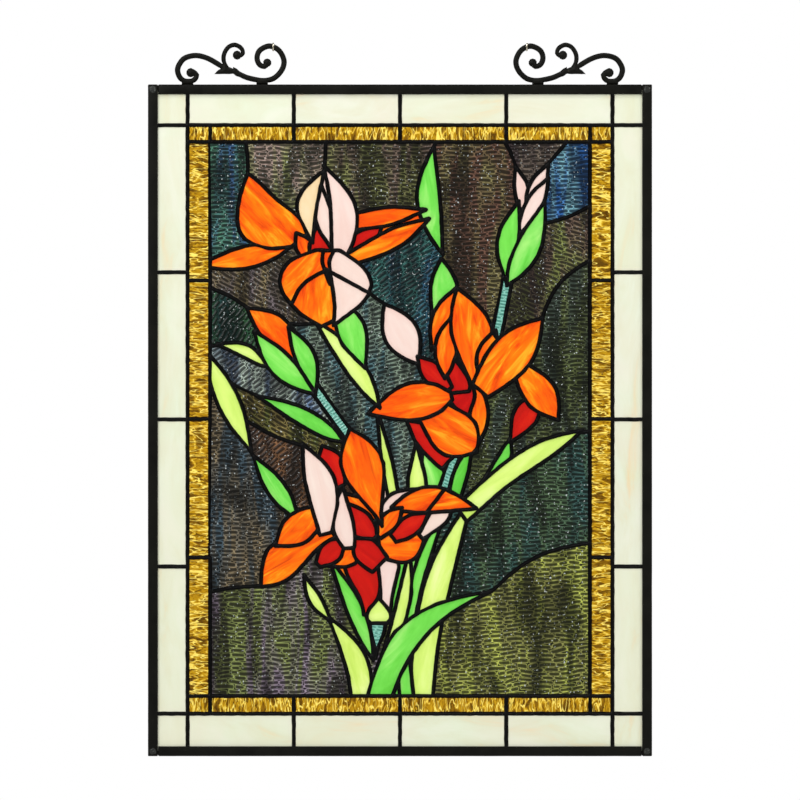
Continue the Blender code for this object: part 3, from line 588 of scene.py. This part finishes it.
def wormAt(along, across, look, seed):
    # rows of long raised drops with grooves between them
    sway = Vector((along * look["sway"], across * look["sway"], seed))
    along += noise.noise(sway) * look["drift"]
    across += noise.noise(sway + look["swayApart"]) * look["drift"] * look["swayAside"]
    row = math.floor(across / look["pitch"])
    place = along / look["length"] + chance(row + 0.5, 0.5, seed) * look["shift"]
    cell = math.floor(place)
    if place < cell + look["uneven"] * chance(cell + 0.5, row + 0.5, seed):
        cell -= 1
    start = cell + look["uneven"] * chance(cell + 0.5, row + 0.5, seed)
    end = cell + 1 + look["uneven"] * chance(cell + 1.5, row + 0.5, seed)
    slant = (chance(cell + 0.5, row + 0.5, seed + 2) - 0.5) * look["slant"]
    beside = (place - (start + end) / 2) * look["length"]
    above = across - (row + 0.5) * look["pitch"] + beside * slant
    radius = look["pitch"] * look["fill"]
    reach = max(0.0, (end - start) / 2 * look["length"] - radius)
    off = (max(abs(beside) - reach, 0.0) ** 4 + above ** 4) ** 0.25
    return min(1.0, max(0.0, 1 - off / radius))


def ridgeAt(along, across, look, seed):
    # sharp wandering crests over rolling glass
    drift = noise.noise(Vector((along * look["sway"], across * look["sway"], seed + 5.1))) * look["drift"]
    along, across = along / look["length"], across / look["pitch"]
    rolling = noise.noise(Vector((along, across + drift, seed)))
    small = noise.noise(Vector((along * look["finer"], across * look["closer"] + drift, seed + 3.7)))
    crest = math.exp(-(rolling / look["crestWidth"]) ** 2)
    crease = look["crease"] * math.exp(-(small / look["creaseWidth"]) ** 2)
    height = look["level"] + look["roll"] * rolling + look["crest"] * crest - crease * (1 - crest)
    return min(1.0, max(0.0, height))


def makePane(line, kind, turn, seed, hue):
    # a pane with a rippled front, a flat back and rims that reach under the solder
    look = ripples.get(kind, ripples["smooth"])
    shape = {"amber": ridgeAt, "ground": wormAt, "teal": wormAt}.get(kind, waveAt)
    work = bmesh.new()
    relief = work.verts.layers.float.new("relief")
    edge = work.verts.layers.float.new("edge")
    pane = work.verts.layers.float.new("pane")
    dyes = [work.verts.layers.float_color.new(layer) for layer in ("deep", "glow", "other")]
    grain = work.loops.layers.uv.new("grain")
    work.faces.new([work.verts.new((p.x, 0, p.y)) for p in grown(line, paneLook["tuck"])])
    netted(work, turn, look["net"])
    border = Border([line], paneLook["borderStep"])
    way = Vector((math.cos(turn), 0, math.sin(turn)))
    aside = Vector((-way.z, 0, way.x))
    share = random.random()
    for v in work.verts:
        height = shape(v.co.dot(way), v.co.dot(aside), look, seed)
        v[relief] = height
        v[edge] = min(1.0, border.away(v.co) / paneLook["edgeWidth"])
        v[pane] = share
        for dye, value in zip(dyes, hue):
            v[dye] = value
        v.co.y = paneLook["front"] - look["height"] * height
    rimEdges = [e for e in work.edges if e.is_boundary]
    pushed = bmesh.ops.extrude_edge_only(work, edges=rimEdges)["geom"]
    for item in pushed:
        if isinstance(item, bmesh.types.BMVert):
            item.co.y = paneLook["back"]
            item[relief] = look["backTone"]
            item[edge] = paneLook["backEdge"]
    backEdges = [e for e in pushed if isinstance(e, bmesh.types.BMEdge) and e.is_boundary]
    bmesh.ops.edgeloop_fill(work, edges=backEdges)
    for face in work.faces:
        for corner in face.loops:
            corner[grain].uv = (corner.vert.co.dot(way) + seed, corner.vert.co.dot(aside) + seed)
    mesh = bpy.data.meshes.new("pane")
    work.to_mesh(mesh)
    work.free()
    return mesh


kindAt = [(kind, onPanel(*spot)) for kind, spots in colourSpots.items() for spot in spots]
groundAt = [(onPanel(*spot), [colour(*dye) for dye in dyes], math.radians(tilt))
            for spot, *dyes, tilt in groundLooks]
panesOf = {n: [] for n in sheets}
for line in holeLines:
    middle = middleOf(line)
    sheet = sheetBehind(middle)
    family = sheet.split("_")[1]
    kinds = familyKinds[family]
    kind = next((k for k, spot in kindAt if k in kinds and holds(line, spot)), kinds[0])
    turn, hue = longWay(line), [colour(0, 0, 0)] * 3
    if family == "ground":
        inside = [row for row in groundAt if holds(line, row[0])]
        _, hue, turn = (inside or sorted(groundAt, key=lambda row: (row[0] - middle).length))[0]
    elif family == "amber":
        turn = 0.0 if sheet.endswith(("left", "right")) else math.pi / 2
    elif kind == "teal":
        turn += math.pi / 2
    panesOf[sheet].append((line, kind, turn, hue))

for sheet, panes in panesOf.items():
    family = sheet.split("_")[1]
    whole = bmesh.new()
    for line, kind, turn, hue in panes:
        mesh = makePane(line, kind, turn, random.uniform(0, paneLook["places"]), hue)
        before = len(whole.faces)
        whole.from_mesh(mesh)
        whole.faces.ensure_lookup_table()
        for face in whole.faces[before:]:
            face.material_index = familyKinds[family].index(kind)
        bpy.data.meshes.remove(mesh)
    if panes:
        finished(sheet.replace("glass_", "panes_"), whole, [glassMaterials[k] for k in familyKinds[family]],
                 familySlots[family], sheet)
    else:
        print("no opening shows", sheet)
print("panes made")


# rounded pieces grown from an outline: the solder beads and the cast hangers

beadLook = {"net": 2.1 * mm, "rounds": 3, "foot": 1.7 * mm, "crown": 1.15 * mm, "reach": 1.75 * mm,
            "pool": 0.30, "lump": 0.22 * mm, "lumpSize": 5.0 * mm, "finer": 2.3, "limit": 2.95 * mm,
            "fillError": 0.002}
hangerLook = dict(beadLook, fuller=0.42 * mm, net=1.1 * mm, foot=0.3 * mm, crown=1.75 * mm, reach=2.1 * mm,
                  pool=0.45, lump=0.16 * mm, lumpSize=4.0 * mm, limit=3.2 * mm)


def domed(outlines, look, side):
    # a closed body: flat in the middle of the panel, swelling with the distance from its outlines
    work = bmesh.new()
    for line in outlines:
        ring = [work.verts.new((p.x, 0, p.y)) for p in line]
        for a, b in zip(ring, ring[1:] + ring[:1]):
            work.edges.new((a, b))
    bmesh.ops.triangle_fill(work, use_beauty=True, edges=work.edges[:])
    filled = sum(f.calc_area() for f in work.faces)
    wanted = areaOf(outlines[0]) - sum(abs(areaOf(line)) for line in outlines[1:])
    if abs(filled / wanted - 1) > look["fillError"]:
        raise ValueError("an outline crosses itself, filled share " + str(filled / wanted))
    pushed = bmesh.ops.extrude_face_region(work, geom=work.faces[:])["geom"]
    for item in pushed:
        if isinstance(item, bmesh.types.BMVert):
            item.co.y = side * look["foot"]
    rimEdges = {e for e in work.edges if any(v.co.y == 0 for f in e.link_faces for v in f.verts)}
    for _ in range(look["rounds"]):
        tooLong = [e for e in work.edges if e not in rimEdges and e.calc_length() > look["net"]]
        bmesh.ops.subdivide_edges(work, edges=tooLong, cuts=1)
        bmesh.ops.triangulate(work, faces=[f for f in work.faces if len(f.verts) > 4])
    border = Border(outlines)
    for v in work.verts:
        if abs(v.co.y) > touching:
            away = border.away(v.co)
            share = min(1.0, away / look["reach"])
            height = look["foot"] + look["crown"] * math.sqrt(1 - (1 - share) ** 2)
            height += max(0.0, away - look["reach"]) * look["pool"]
            place = v.co / look["lumpSize"]
            lump = noise.noise(place) + 0.5 * noise.noise(place * look["finer"])
            v.co.y = side * min(look["limit"], height + lump * look["lump"] * share)
    return work


for name, side in (("seams_front", -1), ("seams_back", 1)):
    work = domed([rim] + holeLines, beadLook, side)
    print(name, len(work.faces))
    finished(name, work, [patina], "solder", "solder_seams", sharp=60)
print("solder beads made")

for name in ("hanger_left", "hanger_right"):
    outlines = [eased(smoothed(line, 0.0), hangerLook["fuller"])
                for line in capOutlines(nodes[name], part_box(name)[0].y)]
    whole = bmesh.new()
    for side in (-1, 1):
        work = domed(outlines, hangerLook, side)
        flat = [f for f in work.faces if all(abs(v.co.y) < touching for v in f.verts)]
        bmesh.ops.delete(work, geom=flat, context="FACES")
        half = bpy.data.meshes.new("half")
        work.to_mesh(half)
        work.free()
        whole.from_mesh(half)
        bpy.data.meshes.remove(half)
    bmesh.ops.remove_doubles(whole, verts=whole.verts, dist=touching)
    finished(name.replace("hanger", "scroll"), whole, [frameMetal], "frame_metal", name, sharp=75)
print("hangers made")


# hanging rings

ringLook = {"radius": 3.8 * mm, "wire": 0.7 * mm, "segments": 40, "wireSegments": 14}
for name in ("ring_left", "ring_right"):
    middle = sum(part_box(name), Vector()) / 2
    outward = Vector((0, ringLook["radius"], 0))
    work = bmesh.new()
    bmesh.ops.create_circle(work, segments=ringLook["wireSegments"], radius=ringLook["wire"],
                            matrix=Matrix.Translation(outward) @ Matrix.Rotation(math.pi / 2, 4, "Y"))
    bmesh.ops.rotate(work, verts=work.verts, cent=outward, matrix=Matrix.Rotation(math.pi / 2, 3, "Z"))
    bmesh.ops.spin(work, geom=work.verts[:] + work.edges[:], cent=(0, 0, 0), axis=(1, 0, 0), angle=math.tau,
                   steps=ringLook["segments"], use_merge=True)
    bmesh.ops.remove_doubles(work, verts=work.verts, dist=1e-7)
    bmesh.ops.translate(work, verts=work.verts, vec=middle)
    finished(name.replace("ring", "wire_ring"), work, [brightWire], "ring_wire", name, sharp=80)


# frame bars with soft edges and small dents

barLook = {"edge": 0.9 * mm, "segments": 3, "slice": 7.0 * mm, "dent": 0.14 * mm, "dentSize": 16.0 * mm,
           "dentDepth": 3, "flat": 0.02}


def isCorner(vertex, low, high):
    # whether a vertex stands in a corner of the bar's box
    return all(min(abs(c - l), abs(c - h)) < 10 * touching for c, l, h in zip(vertex.co, low, high))


for name in ("frame_bottom", "frame_top", "frame_left", "frame_right"):
    low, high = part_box(name)
    work = bmesh.new()
    work.from_mesh(nodes[name].data)
    bmesh.ops.remove_doubles(work, verts=work.verts, dist=touching)
    bmesh.ops.dissolve_limit(work, angle_limit=barLook["flat"], verts=work.verts[:], edges=work.edges[:])
    outer = [e for e in work.edges if all(isCorner(v, low, high) for v in e.verts)]
    bmesh.ops.bevel(work, geom=outer, offset=barLook["edge"], offset_type="OFFSET",
                    segments=barLook["segments"], profile=0.5, affect="EDGES", material=-1,
                    clamp_overlap=True)
    axis = 0 if high.x - low.x > high.z - low.z else 2
    way = Vector((1, 0, 0)) if axis == 0 else Vector((0, 0, 1))
    for i in range(1, int((high[axis] - low[axis]) / barLook["slice"])):
        bmesh.ops.bisect_plane(work, geom=work.verts[:] + work.edges[:] + work.faces[:], dist=touching,
                               plane_co=low + way * i * barLook["slice"], plane_no=way)
    for v in work.verts:
        place = Vector((v.co.x, v.co.y * barLook["dentDepth"], v.co.z)) / barLook["dentSize"]
        inward = (low + high) / 2 - v.co
        inward[axis] = 0
        v.co += inward.normalized() * (abs(noise.noise(place)) * barLook["dent"])
    finished(name.replace("frame", "bar"), work, [frameMetal], "frame_metal", name, sharp=40)
print("frame made")


# solder on the frame: patches over the corner joints, dots where the outer dividers meet it

patchLook = {"corner": (3.5 * mm, 0.5 * mm, 3.5 * mm), "sunk": 0.28 * mm, "fromEdge": 4.5 * mm,
             "dot": (1.5 * mm, 0.8 * mm, 1.3 * mm), "dotSunk": 1.1 * mm, "rough": 0.20,
             "broad": 1.6, "fine": 3.9}
dividerLook = {"apart": 96.3 * mm, "lowest": -604.6 * mm, "rows": 133.4 * mm}


def addLump(work, at, size, seed):
    for v in bmesh.ops.create_icosphere(work, subdivisions=3, radius=1.0)["verts"]:
        way = v.co.copy()
        lumps = noise.noise(way * patchLook["broad"] + Vector((seed, 0, 0)))
        lumps += 0.5 * noise.noise(way * patchLook["fine"] + Vector((0, seed, 0)))
        swell = 1 + patchLook["rough"] * lumps
        v.co = Vector(at) + Vector([w * s * swell for w, s in zip(way, size)])


outerLow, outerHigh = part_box("frame_left")[0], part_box("frame_right")[1]
innerLow = Vector((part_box("frame_left")[1].x, 0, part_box("frame_bottom")[1].z))
innerHigh = Vector((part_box("frame_right")[0].x, 0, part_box("frame_top")[0].z))
patches = bmesh.new()
for i, (across, up) in enumerate(((-1, 1), (1, 1), (-1, -1), (1, -1))):
    at = ((outerLow.x if across < 0 else outerHigh.x) - across * patchLook["fromEdge"],
          outerLow.y + patchLook["sunk"],
          (outerLow.z if up < 0 else outerHigh.z) - up * patchLook["fromEdge"])
    addLump(patches, at, patchLook["corner"], seed=3.1 * i)
finished("corner_solder", patches, [solderGrey], "solder")

dividers = [(i * dividerLook["apart"], z) for i in range(-2, 3) for z in (innerLow.z, innerHigh.z)]
dividers += [(x, dividerLook["lowest"] + i * dividerLook["rows"])
             for i in range(5) for x in (innerLow.x, innerHigh.x)]
dots = bmesh.new()
for i, (x, z) in enumerate(dividers):
    addLump(dots, (x, outerLow.y + patchLook["dotSunk"], z), patchLook["dot"], seed=1.7 * i)
finished("divider_solder", dots, [patina], "solder")
